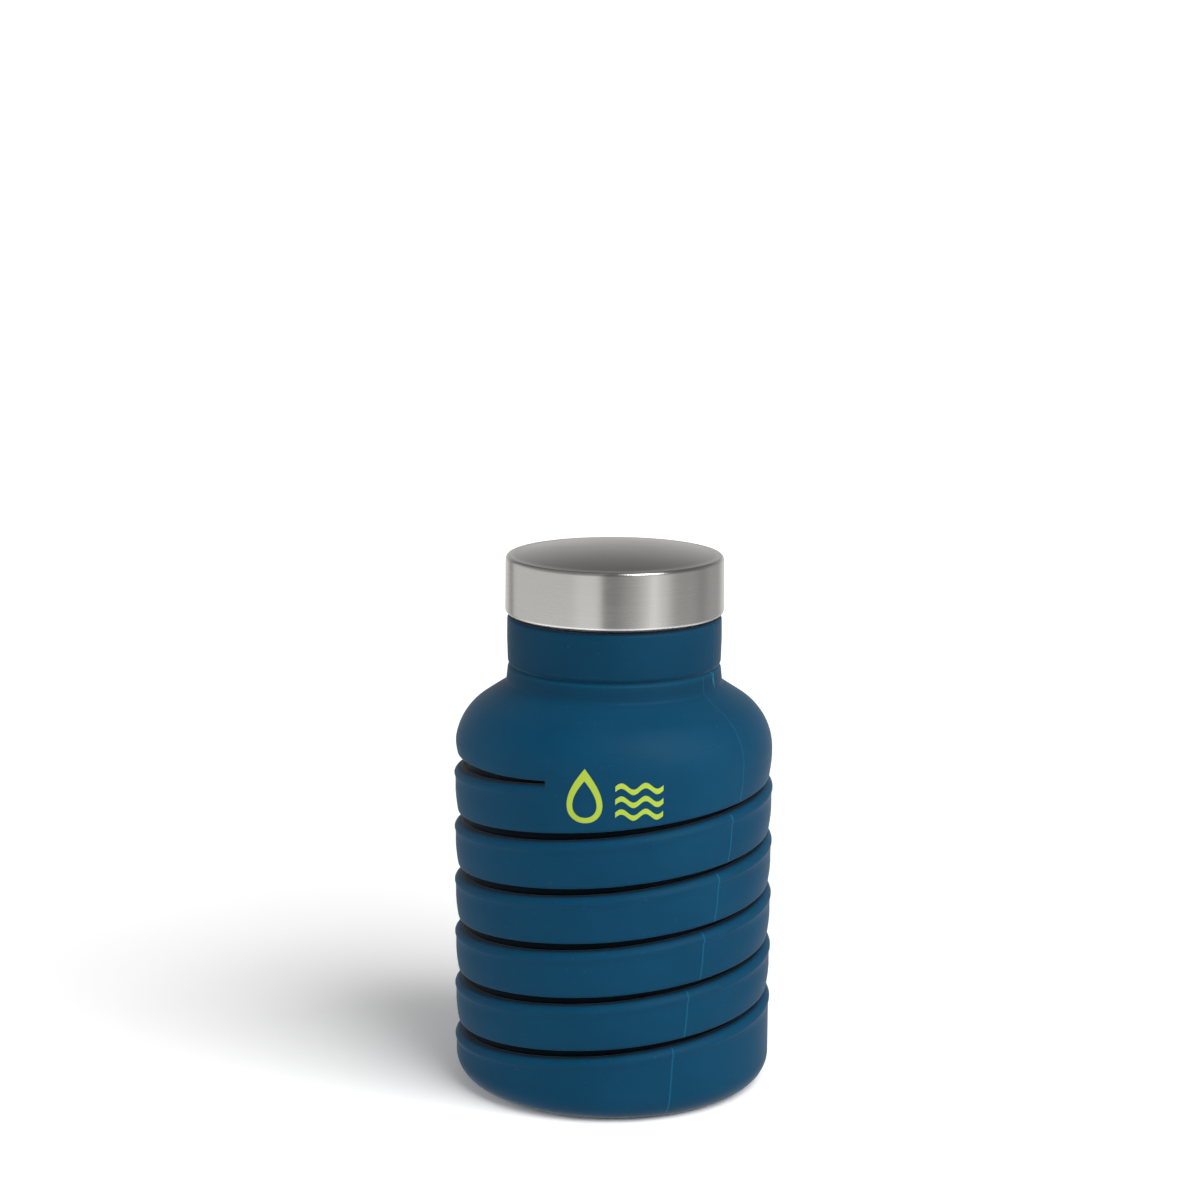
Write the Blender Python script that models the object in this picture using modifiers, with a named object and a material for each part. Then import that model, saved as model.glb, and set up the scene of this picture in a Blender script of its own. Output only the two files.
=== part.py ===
"""Folding water bottle: a spiral silicone body that shortens like a bellows, a threaded
neck insert, and a steel-clad screw cap. Metres, +Z up. The origin is at the centre of the
base's underside, the bottle is stood up at its full height, and its front faces -Y."""
import math

import bmesh
import bpy

MM = 0.001
GAP = 0.3 * MM                  # clearance between neighbouring pieces
SEGMENTS = 40                   # facets in one turn of any round piece

# Silicone body
BODY_RADIUS = 37.5 * MM
INNER_RADIUS = 33.6 * MM
BASE_FILLET = 6.3 * MM
FLOOR_THICKNESS = 3.2 * MM
FOOT_RECESS_RADIUS = 26.0 * MM
FOOT_RECESS_DEPTH = 0.8 * MM

# Spiral groove: the height of its upper lip, counted in turns from its bottom end
GROOVE_TURNS = 5.5
GROOVE_START = 10.88 * MM
GROOVE_PITCH = 12.58 * MM       # rise of the first turn
GROOVE_GROWTH = 0.059 * MM      # each further turn rises twice this much more
GROOVE_AZIMUTH = math.radians(65.5)
GROOVE_TILT = 1.67 / 36.8       # rise of the spiral per metre towards +X
GROOVE_HEIGHT = 1.7 * MM
ROOT_RADIUS = 34.9 * MM         # bottom of the groove
LIP_RADIUS = 36.8 * MM          # lower edge of each band, tucked in
CROWN_RADIUS = 36.4 * MM        # top edge of each band, rounded over

# Bands between the turns of the groove
COILS = 5
BAND_TURNS = GROOVE_TURNS - 1
COIL_TURNS = BAND_TURNS / COILS
BASE_RING_TOP = 7.4 * MM        # below the lowest point of the groove
SKIRT_TOP = 83.0 * MM           # above the highest point of the groove

# Shoulder and neck of the silicone body
SHOULDER_SPRING = 80.9 * MM
SHOULDER_RADIUS = 13.9 * MM
SHOULDER_SWEEP = math.radians(56.5)
NECK_FOOT_RADIUS = 25.4 * MM
NECK_FOOT = 96.3 * MM
NECK_RIDGE = 100.5 * MM
NECK_RADIUS = 25.2 * MM
NECK_TOP = 112.3 * MM
NECK_BORE = 22.4 * MM
LEDGE_RADIUS = 19.6 * MM
LEDGE_TOP = 98.0 * MM

# Threaded insert
INSERT_BOTTOM = LEDGE_TOP + GAP
BARREL_RADIUS = NECK_BORE - GAP
MOUTH_RADIUS = 19.2 * MM
COLLAR_RADIUS = 24.2 * MM
COLLAR_THICKNESS = 0.9 * MM
SPOUT_RADIUS = 21.2 * MM
SPOUT_TOP = 121.8 * MM

# Two-start thread
THREAD_STARTS = 2
THREAD_LEAD = 8.0 * MM
THREAD_SWEEP_TURNS = 0.7
THREAD_HEIGHT = 1.1 * MM
THREAD_FOOT = 1.6 * MM
THREAD_CREST = 0.8 * MM
THREAD_BASE = 115.2 * MM        # height of the spout thread's lower end
THREAD_AZIMUTH = 0.06           # radians; keeps the ridges' sections off the walls' edges
THREAD_BURY = 0.45 * MM         # how far a thread's foot runs into its wall

# Cap
CAP_RIM = 113.0 * MM
CAP_EDGE = 126.6 * MM
CAP_RISE = 2.5 * MM             # height of the domed top above its edge
CAP_RADIUS = 25.7 * MM
CAP_CORNER = 1.3 * MM
SHELL_THICKNESS = 0.6 * MM
LINER_RADIUS = CAP_RADIUS - SHELL_THICKNESS - GAP
LINER_BORE = 22.6 * MM
LINER_BOTTOM = 114.0 * MM
LINER_TOP = 125.1 * MM
PLATE_THICKNESS = 1.5 * MM
SEAL_INNER = 18.4 * MM
SEAL_OUTER = LINER_BORE - GAP
SEAL_THICKNESS = 1.2 * MM


def clear_scene():
    for old in list(bpy.data.objects):
        bpy.data.objects.remove(old, do_unlink=True)


def collection(name):
    group = bpy.data.collections.new(name)
    bpy.context.scene.collection.children.link(group)
    return group


def material(name, colour, roughness, metallic=0.0):
    mat = bpy.data.materials.new(name)
    mat.use_nodes = True
    shader = mat.node_tree.nodes["Principled BSDF"]
    shader.inputs["Base Color"].default_value = (*colour, 1.0)
    shader.inputs["Roughness"].default_value = roughness
    shader.inputs["Metallic"].default_value = metallic
    mat.diffuse_color = (*colour, 1.0)
    return mat


def add_object(name, mesh, mat, group):
    obj = bpy.data.objects.new(name, mesh)
    mesh.materials.clear()
    mesh.materials.append(mat)
    group.objects.link(obj)
    return obj


def arc(centre_r, centre_z, radius, start, end, steps):
    """Points of a circular arc in the (radius, height) plane, from start to end in degrees."""
    points = []
    for i in range(steps + 1):
        angle = math.radians(start + (end - start) * i / steps)
        points.append((centre_r + radius * math.cos(angle), centre_z + radius * math.sin(angle)))
    return points


def turned(name, profile, mat, group):
    """A closed profile in the (radius, height) plane, running down its outer side, spun about Z."""
    mesh = bpy.data.meshes.new(name)
    pairs = [(i, (i + 1) % len(profile)) for i in range(len(profile))]
    edges = [(i, j) for i, j in pairs if profile[i][0] > 0 or profile[j][0] > 0]
    mesh.from_pydata([(r, 0.0, z) for r, z in profile], edges, [])
    obj = add_object(name, mesh, mat, group)
    spin = obj.modifiers.new("Turn", "SCREW")
    spin.axis = "Z"
    spin.angle = 2 * math.pi
    spin.steps = SEGMENTS
    spin.render_steps = SEGMENTS
    spin.use_merge_vertices = True
    spin.merge_threshold = 0.00001
    return obj


def loft(name, sections, mat, group):
    """A solid through rings of points, one ring per section, with flat ends."""
    build = bmesh.new()
    rings = [[build.verts.new(point) for point in section] for section in sections]
    count = len(rings[0])
    for ring, following in zip(rings, rings[1:]):
        for i in range(count):
            j = (i + 1) % count
            build.faces.new((ring[i], ring[j], following[j], following[i]))
    build.faces.new(rings[0])
    build.faces.new(rings[-1])
    bmesh.ops.recalc_face_normals(build, faces=build.faces)
    mesh = bpy.data.meshes.new(name)
    build.to_mesh(mesh)
    build.free()
    return add_object(name, mesh, mat, group)


def boolean(obj, other, operation):
    """Joins or cuts obj with other, which stays behind as a hidden guide."""
    other.hide_render = True
    other.display_type = "WIRE"
    change = obj.modifiers.new(other.name, "BOOLEAN")
    change.operation = operation
    change.solver = "EXACT"
    change.object = other


def shade(obj):
    for polygon in obj.data.polygons:
        polygon.use_smooth = True


def groove_azimuth(turn):
    return GROOVE_AZIMUTH + 2 * math.pi * turn


def lip_height(turn):
    """Height of the groove's upper lip, at LIP_RADIUS, this many turns above its bottom end."""
    tilt = GROOVE_TILT * LIP_RADIUS * math.cos(groove_azimuth(turn))
    return GROOVE_START + (GROOVE_PITCH + GROOVE_GROWTH * turn) * turn + tilt


def lip_points(height):
    """Underside of a wall that hangs over the groove, from inside to outside."""
    return [
        (INNER_RADIUS, height + GAP / 2),
        (ROOT_RADIUS, height + GAP / 2),
        (LIP_RADIUS, height),
        (BODY_RADIUS - 0.2 * MM, height + 1.3 * MM),
    ]


def crown_points(height):
    """Rounded top of a wall under the groove whose upper lip is at height, from outside to inside."""
    return [
        (BODY_RADIUS + 0.1 * MM, height - GROOVE_HEIGHT - 2.4 * MM),
        (BODY_RADIUS - 0.2 * MM, height - GROOVE_HEIGHT - 0.9 * MM),
        (CROWN_RADIUS, height - GROOVE_HEIGHT),
        (ROOT_RADIUS, height - GAP / 2),
        (INNER_RADIUS, height - GAP / 2),
    ]


def spiral_wall(name, first, last, under, over, mat, group):
    """A wall that follows the groove from turn first to turn last. under and over give the
    (radius, height) points of its lower and upper side at a turn."""
    half_cut = GAP / 2 / BODY_RADIUS
    steps = round((last - first) * SEGMENTS)
    sections = []
    for i in range(steps + 1):
        turn = first + (last - first) * i / steps
        azimuth = groove_azimuth(turn)
        if i == 0:
            azimuth += half_cut
        if i == steps:
            azimuth -= half_cut
        outline = under(turn) + over(turn)
        sections.append(
            [(r * math.cos(azimuth), r * math.sin(azimuth), z) for r, z in outline]
        )
    return loft(name, sections, mat, group)


def thread(name, base_radius, direction, base_height, start, mat, group):
    """One ridge of a right-hand thread. direction is 1 on the outside of a wall, -1 inside it."""
    steps = round(THREAD_SWEEP_TURNS * SEGMENTS)
    foot = base_radius - direction * THREAD_BURY
    crest = base_radius + direction * THREAD_HEIGHT
    sections = []
    for i in range(steps + 1):
        share = i / steps
        azimuth = start + 2 * math.pi * THREAD_SWEEP_TURNS * share
        height = base_height + THREAD_LEAD * THREAD_SWEEP_TURNS * share
        fade = min(1.0, 4 * share, 4 * (1 - share))
        tip = foot + (crest - foot) * (0.35 + 0.65 * fade)
        outline = [
            (foot, height - THREAD_FOOT / 2),
            (tip, height - THREAD_CREST / 2),
            (tip, height + THREAD_CREST / 2),
            (foot, height + THREAD_FOOT / 2),
        ]
        sections.append(
            [(r * math.cos(azimuth), r * math.sin(azimuth), z) for r, z in outline]
        )
    return loft(name, sections, mat, group)


def add_threads(wall, radius, direction, base_height, first_start, mat, guides):
    for k in range(THREAD_STARTS):
        start = first_start + 2 * math.pi * k / THREAD_STARTS
        name = f"{wall.name}_thread_{k + 1}"
        ridge = thread(name, radius, direction, base_height, start, mat, guides)
        boolean(wall, ridge, "UNION")


def make_base(mat, group, guides):
    inner_fillet = arc(INNER_RADIUS - 3 * MM, FLOOR_THICKNESS + 3 * MM, 3 * MM, -90, 0, 2)
    cup = [(0.0, FLOOR_THICKNESS)] + inner_fillet
    cup += [(INNER_RADIUS, BASE_RING_TOP), (BODY_RADIUS, BASE_RING_TOP)]
    cup += arc(BODY_RADIUS - BASE_FILLET, BASE_FILLET, BASE_FILLET, 0, -90, 4)
    cup += [
        (FOOT_RECESS_RADIUS + FOOT_RECESS_DEPTH, 0.0),
        (FOOT_RECESS_RADIUS, FOOT_RECESS_DEPTH),
        (0.0, FOOT_RECESS_DEPTH),
    ]
    base = turned("base_cup", cup, mat, group)

    def flat_foot(turn):
        return [(INNER_RADIUS, BASE_RING_TOP - GAP), (BODY_RADIUS, BASE_RING_TOP - GAP)]

    def crown(turn):
        return crown_points(lip_height(turn))

    ramp = spiral_wall("base_ramp", 0.0, 1.0, flat_foot, crown, mat, guides)
    boolean(base, ramp, "UNION")
    return base


def make_coils(mat, group):
    coils = []
    for k in range(COILS):
        coil = spiral_wall(
            f"coil_{k + 1}",
            COIL_TURNS * k,
            COIL_TURNS * (k + 1),
            lambda turn: lip_points(lip_height(turn)),
            lambda turn: crown_points(lip_height(turn + 1)),
            mat,
            group,
        )
        coils.append(coil)
    return coils


def make_shoulder(mat, group, guides):
    cone_start = arc(
        BODY_RADIUS - SHOULDER_RADIUS, SHOULDER_SPRING, SHOULDER_RADIUS,
        math.degrees(SHOULDER_SWEEP), 0, 6,
    )
    wall = BODY_RADIUS - INNER_RADIUS
    inner_arc = arc(
        BODY_RADIUS - SHOULDER_RADIUS, SHOULDER_SPRING, SHOULDER_RADIUS - wall, 0, 60, 4,
    )
    profile = [
        (NECK_BORE, NECK_TOP),
        (NECK_RADIUS - 0.6 * MM, NECK_TOP),
        (NECK_RADIUS, NECK_TOP - 0.6 * MM),
        (NECK_RADIUS, NECK_TOP - 6 * MM),
        (NECK_RADIUS - 0.3 * MM, NECK_RIDGE + 0.5 * MM),
        (NECK_RADIUS - 0.1 * MM, NECK_RIDGE),
        (NECK_FOOT_RADIUS, NECK_FOOT),
    ]
    profile += [point for point in cone_start if point[1] > SKIRT_TOP]
    profile += [(BODY_RADIUS - 0.1 * MM, SKIRT_TOP), (INNER_RADIUS, SKIRT_TOP)]
    profile += [point for point in inner_arc if point[1] > SKIRT_TOP + GAP]
    profile += [(LEDGE_RADIUS, LEDGE_TOP - 4 * MM), (LEDGE_RADIUS, LEDGE_TOP), (NECK_BORE, LEDGE_TOP)]
    shoulder = turned("shoulder_neck", profile, mat, group)

    def lip(turn):
        return lip_points(lip_height(turn))

    def flat_top(turn):
        return [
            (BODY_RADIUS - 0.1 * MM, SKIRT_TOP + GAP),
            (INNER_RADIUS, SKIRT_TOP + GAP),
        ]

    skirt = spiral_wall(
        "shoulder_skirt", BAND_TURNS, GROOVE_TURNS, lip, flat_top, mat, guides
    )
    boolean(shoulder, skirt, "UNION")
    return shoulder


def make_insert(mat, group, guides):
    collar_bottom = NECK_TOP + GAP
    profile = [
        (MOUTH_RADIUS, SPOUT_TOP),
        (SPOUT_RADIUS - 0.5 * MM, SPOUT_TOP),
        (SPOUT_RADIUS, SPOUT_TOP - 0.5 * MM),
        (SPOUT_RADIUS, collar_bottom + COLLAR_THICKNESS),
        (COLLAR_RADIUS, collar_bottom + COLLAR_THICKNESS),
        (COLLAR_RADIUS, collar_bottom),
        (BARREL_RADIUS, collar_bottom),
        (BARREL_RADIUS, INSERT_BOTTOM),
        (MOUTH_RADIUS, INSERT_BOTTOM),
    ]
    insert = turned("neck_insert", profile, mat, group)
    add_threads(insert, SPOUT_RADIUS, 1, THREAD_BASE, THREAD_AZIMUTH, mat, guides)
    return insert


def make_liner(mat, group, guides):
    plate = LINER_TOP - PLATE_THICKNESS
    profile = [
        (0.0, LINER_TOP),
        (LINER_RADIUS - 0.5 * MM, LINER_TOP),
        (LINER_RADIUS, LINER_TOP - 0.5 * MM),
        (LINER_RADIUS, LINER_BOTTOM),
        (LINER_BORE, LINER_BOTTOM),
        (LINER_BORE, plate),
        (0.0, plate),
    ]
    liner = turned("cap_liner", profile, mat, group)
    between = THREAD_AZIMUTH + math.pi / THREAD_STARTS
    add_threads(liner, LINER_BORE, -1, THREAD_BASE, between, mat, guides)
    return liner


def make_shell(mat, group):
    inner = CAP_RADIUS - SHELL_THICKNESS
    steps = 4
    dome = []
    underside = []
    for i in range(steps):
        share = i / steps
        height = CAP_EDGE + CAP_RISE * (1 - share * share)
        dome.append((share * (CAP_RADIUS - CAP_CORNER), height))
        underside.append((share * inner, height - SHELL_THICKNESS))
    corner = arc(CAP_RADIUS - CAP_CORNER, CAP_EDGE - CAP_CORNER, CAP_CORNER, 90, 0, 2)
    curl = arc(CAP_RADIUS - CAP_CORNER, CAP_RIM + CAP_CORNER, CAP_CORNER, 0, -60, 2)
    profile = dome + corner + curl
    profile.append((inner, CAP_RIM + CAP_CORNER))
    profile.append((inner, CAP_EDGE - SHELL_THICKNESS - 0.3 * MM))
    profile += reversed(underside)
    return turned("cap_shell", profile, mat, group)


def make_seal(mat, group):
    top = LINER_TOP - PLATE_THICKNESS - GAP
    bottom = top - SEAL_THICKNESS
    profile = [
        (SEAL_INNER, top),
        (SEAL_OUTER, top),
        (SEAL_OUTER, bottom),
        (SEAL_INNER, bottom),
    ]
    return turned("seal_ring", profile, mat, group)


def main():
    clear_scene()
    parts = collection("folding_water_bottle")
    guides = collection("guides")
    silicone = material("silicone_body", (0.012, 0.055, 0.105), 0.5)
    insert_plastic = material("insert_plastic", (0.03, 0.035, 0.04), 0.4)
    liner_plastic = material("liner_plastic", (0.04, 0.045, 0.05), 0.4)
    steel = material("brushed_steel", (0.55, 0.55, 0.53), 0.3, 1.0)
    seal_rubber = material("seal_rubber", (0.6, 0.62, 0.62), 0.6)

    pieces = [make_base(silicone, parts, guides)]
    pieces += make_coils(silicone, parts)
    pieces.append(make_shoulder(silicone, parts, guides))
    pieces.append(make_insert(insert_plastic, parts, guides))
    pieces.append(make_liner(liner_plastic, parts, guides))
    pieces.append(make_shell(steel, parts))
    pieces.append(make_seal(seal_rubber, parts))
    for piece in pieces:
        shade(piece)


main()
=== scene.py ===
"""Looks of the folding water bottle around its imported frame: one flowing silicone skin with a
spiral groove, a brushed steel cap, and the moulded pieces inside. Lengths are in metres."""
import math

import bpy
from mathutils import Matrix, Vector


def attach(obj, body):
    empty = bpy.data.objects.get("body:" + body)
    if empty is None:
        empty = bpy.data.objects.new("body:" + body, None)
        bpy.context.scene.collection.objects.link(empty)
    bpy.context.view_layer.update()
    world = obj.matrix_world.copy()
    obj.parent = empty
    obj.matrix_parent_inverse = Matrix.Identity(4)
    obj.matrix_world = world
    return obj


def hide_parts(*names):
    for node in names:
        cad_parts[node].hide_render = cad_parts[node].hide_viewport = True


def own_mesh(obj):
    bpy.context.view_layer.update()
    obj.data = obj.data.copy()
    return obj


MM = 0.001

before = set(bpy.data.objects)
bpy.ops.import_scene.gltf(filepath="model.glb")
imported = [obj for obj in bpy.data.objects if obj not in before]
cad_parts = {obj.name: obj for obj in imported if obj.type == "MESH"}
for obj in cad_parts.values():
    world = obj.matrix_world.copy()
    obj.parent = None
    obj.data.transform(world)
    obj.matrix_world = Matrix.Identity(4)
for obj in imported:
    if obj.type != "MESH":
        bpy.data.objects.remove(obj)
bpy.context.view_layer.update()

# Silicone body, as in the CAD
BODY_RADIUS = 37.5 * MM
INNER_RADIUS = 33.6 * MM
BASE_FILLET = 6.3 * MM
FLOOR_THICKNESS = 3.2 * MM
FOOT_RECESS_RADIUS = 26.0 * MM
FOOT_RECESS_DEPTH = 0.8 * MM
SHOULDER_SPRING = 80.9 * MM
SHOULDER_RADIUS = 13.9 * MM
SHOULDER_SWEEP = 56.5           # degrees
NECK_FOOT_RADIUS = 25.4 * MM
NECK_FOOT = 96.3 * MM
NECK_RIDGE = 100.5 * MM
NECK_RADIUS = 25.2 * MM
NECK_TOP = 112.3 * MM
NECK_BORE = 22.4 * MM
LEDGE_RADIUS = 19.6 * MM
LEDGE_TOP = 98.0 * MM

# Spiral groove: its upper lip's height, in turns from its bottom end
GROOVE_TURNS = 5.5
GROOVE_START = 10.88 * MM
GROOVE_PITCH = 12.58 * MM
GROOVE_GROWTH = 0.059 * MM
GROOVE_AZIMUTH = math.radians(65.5)
GROOVE_TILT = 1.67 / 36.8
LIP_RADIUS = 36.8 * MM
GROOVE_GAP = 1.75 * MM          # height of its mouth, which is wider on the left
GAP_LEAN = 0.45 * MM
LIP_LEAN = 0.5 * MM             # how much higher the lip stands on the left
END_GAP = 0.95 * MM             # mouth at the groove's top end, wider just before it
END_SWELL = 0.9 * MM
END_REACH = 45.0 * MM           # length along the groove over which it does so
NARROWING_RATE = 2.2
SWELLING_RATE = 1.6
PAST_END_RATE = 1.3             # how quickly the uncut rows beyond it rise to the fold's top,
PAST_END_SHARE = 0.8            # and how much of the way they go
CROSSINGS = 6                   # most turns of the groove that one upright line meets
TURN_LENGTH = 2 * math.pi * BODY_RADIUS
SLOT_FADE = 1.3 * MM            # length over which the groove's blunt ends close
BAND_FADE = 9.0 * MM            # length over which the bands' rounded edges fade there

# The stretch of wall that folds, between two level planes
FOLD_BOTTOM = 7.4 * MM
FOLD_TOP = 83.0 * MM

# Mould parting line, in degrees round from the front towards +X. It is nearly upright on
# each band and steps on at each groove; the skin's columns run parallel to it on the bands.
PARTING_START = 20.8
PARTING_STEP = 6.3
PARTING_SLOPE = 100.0           # degrees per metre within a band
PARTING_NECK = 65.5
PARTING_HEIGHT = 0.11 * MM
PARTING_WIDTH = 0.16 * MM
PARTING_FLASH = 0.3             # how light it looks
FAINT_FROM = FOLD_TOP - 8 * MM  # above this the line is lower and fainter
FAINT_SHARE = 0.6
FAINT_FLASH = 0.15
NUB_FOOT = 97.0 * MM            # short wavy flash on the neck's foot
NUB_TOP = 101.0 * MM
NUB_WAVE = 9                    # radians of its wave from foot to top
NUB_SWING = 0.22 * MM
NUB_WIDTH = 0.22 * MM
NUB_HEIGHT = 0.3 * MM
NUB_FLASH = 1.3
EDGE_BELOW = 0.15 * MM          # painted highlight on the edge just below the neck's ridge
EDGE_WIDTH = 0.35 * MM
EDGE_HIGHLIGHT = 0.11
LEAN_TOP = 88.0 * MM            # columns are upright above this

# Threaded insert, cap and seal, as in the CAD
INSERT_BOTTOM = 98.3 * MM
BARREL_RADIUS = 22.1 * MM
MOUTH_RADIUS = 19.2 * MM
COLLAR_BOTTOM = 112.6 * MM
COLLAR_TOP = 113.5 * MM
COLLAR_RADIUS = 24.2 * MM
SPOUT_RADIUS = 21.2 * MM
SPOUT_TOP = 121.8 * MM
THREAD_STARTS = 2
THREAD_LEAD = 8.0 * MM
THREAD_SWEEP = 0.7 * 2 * math.pi
THREAD_HEIGHT = 1.1 * MM
THREAD_FOOT = 1.6 * MM
THREAD_CREST = 0.8 * MM
THREAD_BASE = 115.2 * MM
THREAD_AZIMUTH = 0.06
THREAD_RUNOUT = 6               # one over the share of its length over which an end fades
THREAD_ROW = 0.16 * MM          # height of the rows that show it
THREAD_COLUMNS = 288
CAP_RIM = 113.0 * MM
CAP_EDGE = 126.6 * MM
CAP_RISE = 2.5 * MM
CAP_RADIUS = 25.7 * MM
CAP_TAPER = 0.15 * MM
CAP_CORNER = 1.3 * MM
SHELL_THICKNESS = 0.6 * MM
LINER_RADIUS = 24.8 * MM
LINER_BORE = 22.6 * MM
LINER_BOTTOM = 114.0 * MM
LINER_TOP = 125.1 * MM
PLATE_BOTTOM = 123.6 * MM
SEAL_INNER = 18.4 * MM
SEAL_OUTER = 22.3 * MM
SEAL_TOP = 123.3 * MM
SEAL_BOTTOM = 122.1 * MM


# ---- Meshes ---------------------------------------------------------------------------------

def rounded(points, step=12.0, closed=False):
    """A (radius, height) outline whose corners are rounded. Each point is (radius, height,
    fillet); arcs get a point every step degrees."""
    outline = []
    count = len(points)
    for i, (r, z, fillet) in enumerate(points):
        at_end = not closed and i in (0, count - 1)
        if fillet == 0 or at_end:
            outline.append((r, z))
            continue
        corner = Vector((r, z))
        before = Vector(points[i - 1][:2]) - corner
        after = Vector(points[(i + 1) % count][:2]) - corner
        before.normalize()
        after.normalize()
        half = before.angle(after) / 2
        centre = corner + (before + after).normalized() * fillet / math.sin(half)
        start = corner + before * fillet / math.tan(half) - centre
        end = corner + after * fillet / math.tan(half) - centre
        turn = start.angle_signed(end)
        steps = max(2, math.ceil(abs(math.degrees(turn)) / step))
        for k in range(steps + 1):
            angle = -turn * k / steps
            x = start.x * math.cos(angle) - start.y * math.sin(angle)
            y = start.x * math.sin(angle) + start.y * math.cos(angle)
            outline.append((centre.x + x, centre.y + y))
    return outline


def divided(outline, longest, low=-1.0, high=1.0):
    """The outline with its straight runs between heights low and high cut into short rows."""
    rows = [outline[0]]
    for (r0, z0), (r1, z1) in zip(outline, outline[1:]):
        length = math.hypot(r1 - r0, z1 - z0)
        inside = low <= (z0 + z1) / 2 <= high
        steps = max(1, math.ceil(length / longest)) if inside else 1
        for k in range(1, steps + 1):
            rows.append((r0 + (r1 - r0) * k / steps, z0 + (z1 - z0) * k / steps))
    return rows


class Skin:
    """Vertices, faces and point values of a mesh that goes round the axis."""

    def __init__(self):
        self.points = []
        self.faces = []
        self.around = []        # arc length round from the front, and height, at rest
        self.flash_and_highlight = []         # how strongly the mould's parting flash and the painted highlight on the neck's ridge show
        self.shade = []         # how far inside the groove, which sets its painted shade
        self.grain = []         # direction round the axis, and length along the outline

    def add(self, r, azimuth, z, flash_and_highlight=0.0, along=0.0, shade=0.0):
        x, y = math.cos(azimuth), math.sin(azimuth)
        self.points.append((r * x, r * y, z))
        seen = (azimuth + 1.5 * math.pi) % (2 * math.pi) - math.pi
        self.around.append((seen * BODY_RADIUS, z, 0.0))
        self.flash_and_highlight.append(flash_and_highlight)
        self.shade.append(shade)
        self.grain.append((x, y, along))
        return len(self.points) - 1

    def strip(self, left, right):
        """Faces between two columns with the same number of rows, outer side upwards."""
        for i in range(len(left) - 1):
            corners = [left[i], right[i], right[i + 1], left[i + 1]]
            distinct = list(dict.fromkeys(corners))
            if len(distinct) > 2:
                self.faces.append(distinct)

    def zipped(self, left, right):
        """Triangles between two columns with different rows, both running upwards."""
        i = j = 0
        while i < len(left) - 1 or j < len(right) - 1:
            left_next = self.points[left[i + 1]][2] if i < len(left) - 1 else math.inf
            right_next = self.points[right[j + 1]][2] if j < len(right) - 1 else math.inf
            if left_next <= right_next:
                self.faces.append([left[i], right[j], left[i + 1]])
                i += 1
            else:
                self.faces.append([left[i], right[j], right[j + 1]])
                j += 1

    def piece(self, name):
        mesh = bpy.data.meshes.new(name)
        mesh.from_pydata(self.points, [], self.faces)
        for label, kind, values in (
            ("rest", "FLOAT_VECTOR", self.points),
            ("around", "FLOAT_VECTOR", self.around),
            ("grain", "FLOAT_VECTOR", self.grain),
            ("flash_and_highlight", "FLOAT", self.flash_and_highlight),
            ("shade", "FLOAT", self.shade),
        ):
            layer = mesh.attributes.new(label, kind, "POINT")
            if kind == "FLOAT":
                layer.data.foreach_set("value", values)
            else:
                layer.data.foreach_set("vector", [c for value in values for c in value])
        mesh.shade_smooth()
        obj = bpy.data.objects.new(name, mesh)
        bpy.context.scene.collection.objects.link(obj)
        return obj


def turned(name, outlines, azimuths, shape=None, closed=False, lean=None):
    """A piece of revolution. Each outline runs up its outer side and down its inner side, and
    shape(azimuth, r, z) may push a point in or out and gives its flash and painted highlight."""
    skin = Skin()
    for outline in outlines:
        rows = outline + [outline[0]] if closed else outline
        lengths = [0.0]
        for (r0, z0), (r1, z1) in zip(rows, rows[1:]):
            lengths.append(lengths[-1] + math.hypot(r1 - r0, z1 - z0))
        poles = {}
        columns = []
        for azimuth in azimuths:
            column = []
            for k, (r, z) in enumerate(outline):
                if r == 0:
                    if k not in poles:
                        poles[k] = skin.add(0.0, 0.0, z, 0.0, lengths[k])
                    column.append(poles[k])
                    continue
                placed = azimuth + (lean(z) if lean else 0.0)
                push, flash_and_highlight = shape(placed, r, z) if shape else (0.0, 0.0)
                column.append(skin.add(r + push, placed, z, flash_and_highlight, lengths[k]))
            if closed:
                column.append(column[0])
            columns.append(column)
        for left, right in zip(columns, columns[1:] + columns[:1]):
            on_axis = [k for k in range(len(left) - 1)
                       if left[k] == right[k] and left[k + 1] == right[k + 1]]
            if on_axis:
                cut = on_axis[0] + 1
                skin.strip(left[:cut], right[:cut])
                skin.strip(left[cut:], right[cut:])
            else:
                skin.strip(left, right)
    return skin.piece(name)


def round_azimuths(count):
    return [2 * math.pi * i / count for i in range(count)]


# ---- Silicone body --------------------------------------------------------------------------

def lean(z):
    """How far the skin's columns have turned, in radians, at a height."""
    return math.radians(PARTING_SLOPE * min(z, LEAN_TOP))


def front_angle(azimuth):
    """Degrees round from the front (-Y) towards +X, from -180 to 180."""
    return (math.degrees(azimuth) + 270) % 360 - 180


def plain_height(turn):
    """Height of the groove's upper lip as a regular spiral."""
    azimuth = GROOVE_AZIMUTH + 2 * math.pi * turn
    tilt = GROOVE_TILT * LIP_RADIUS * math.cos(azimuth)
    return GROOVE_START + (GROOVE_PITCH + GROOVE_GROWTH * turn) * turn + tilt


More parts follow.
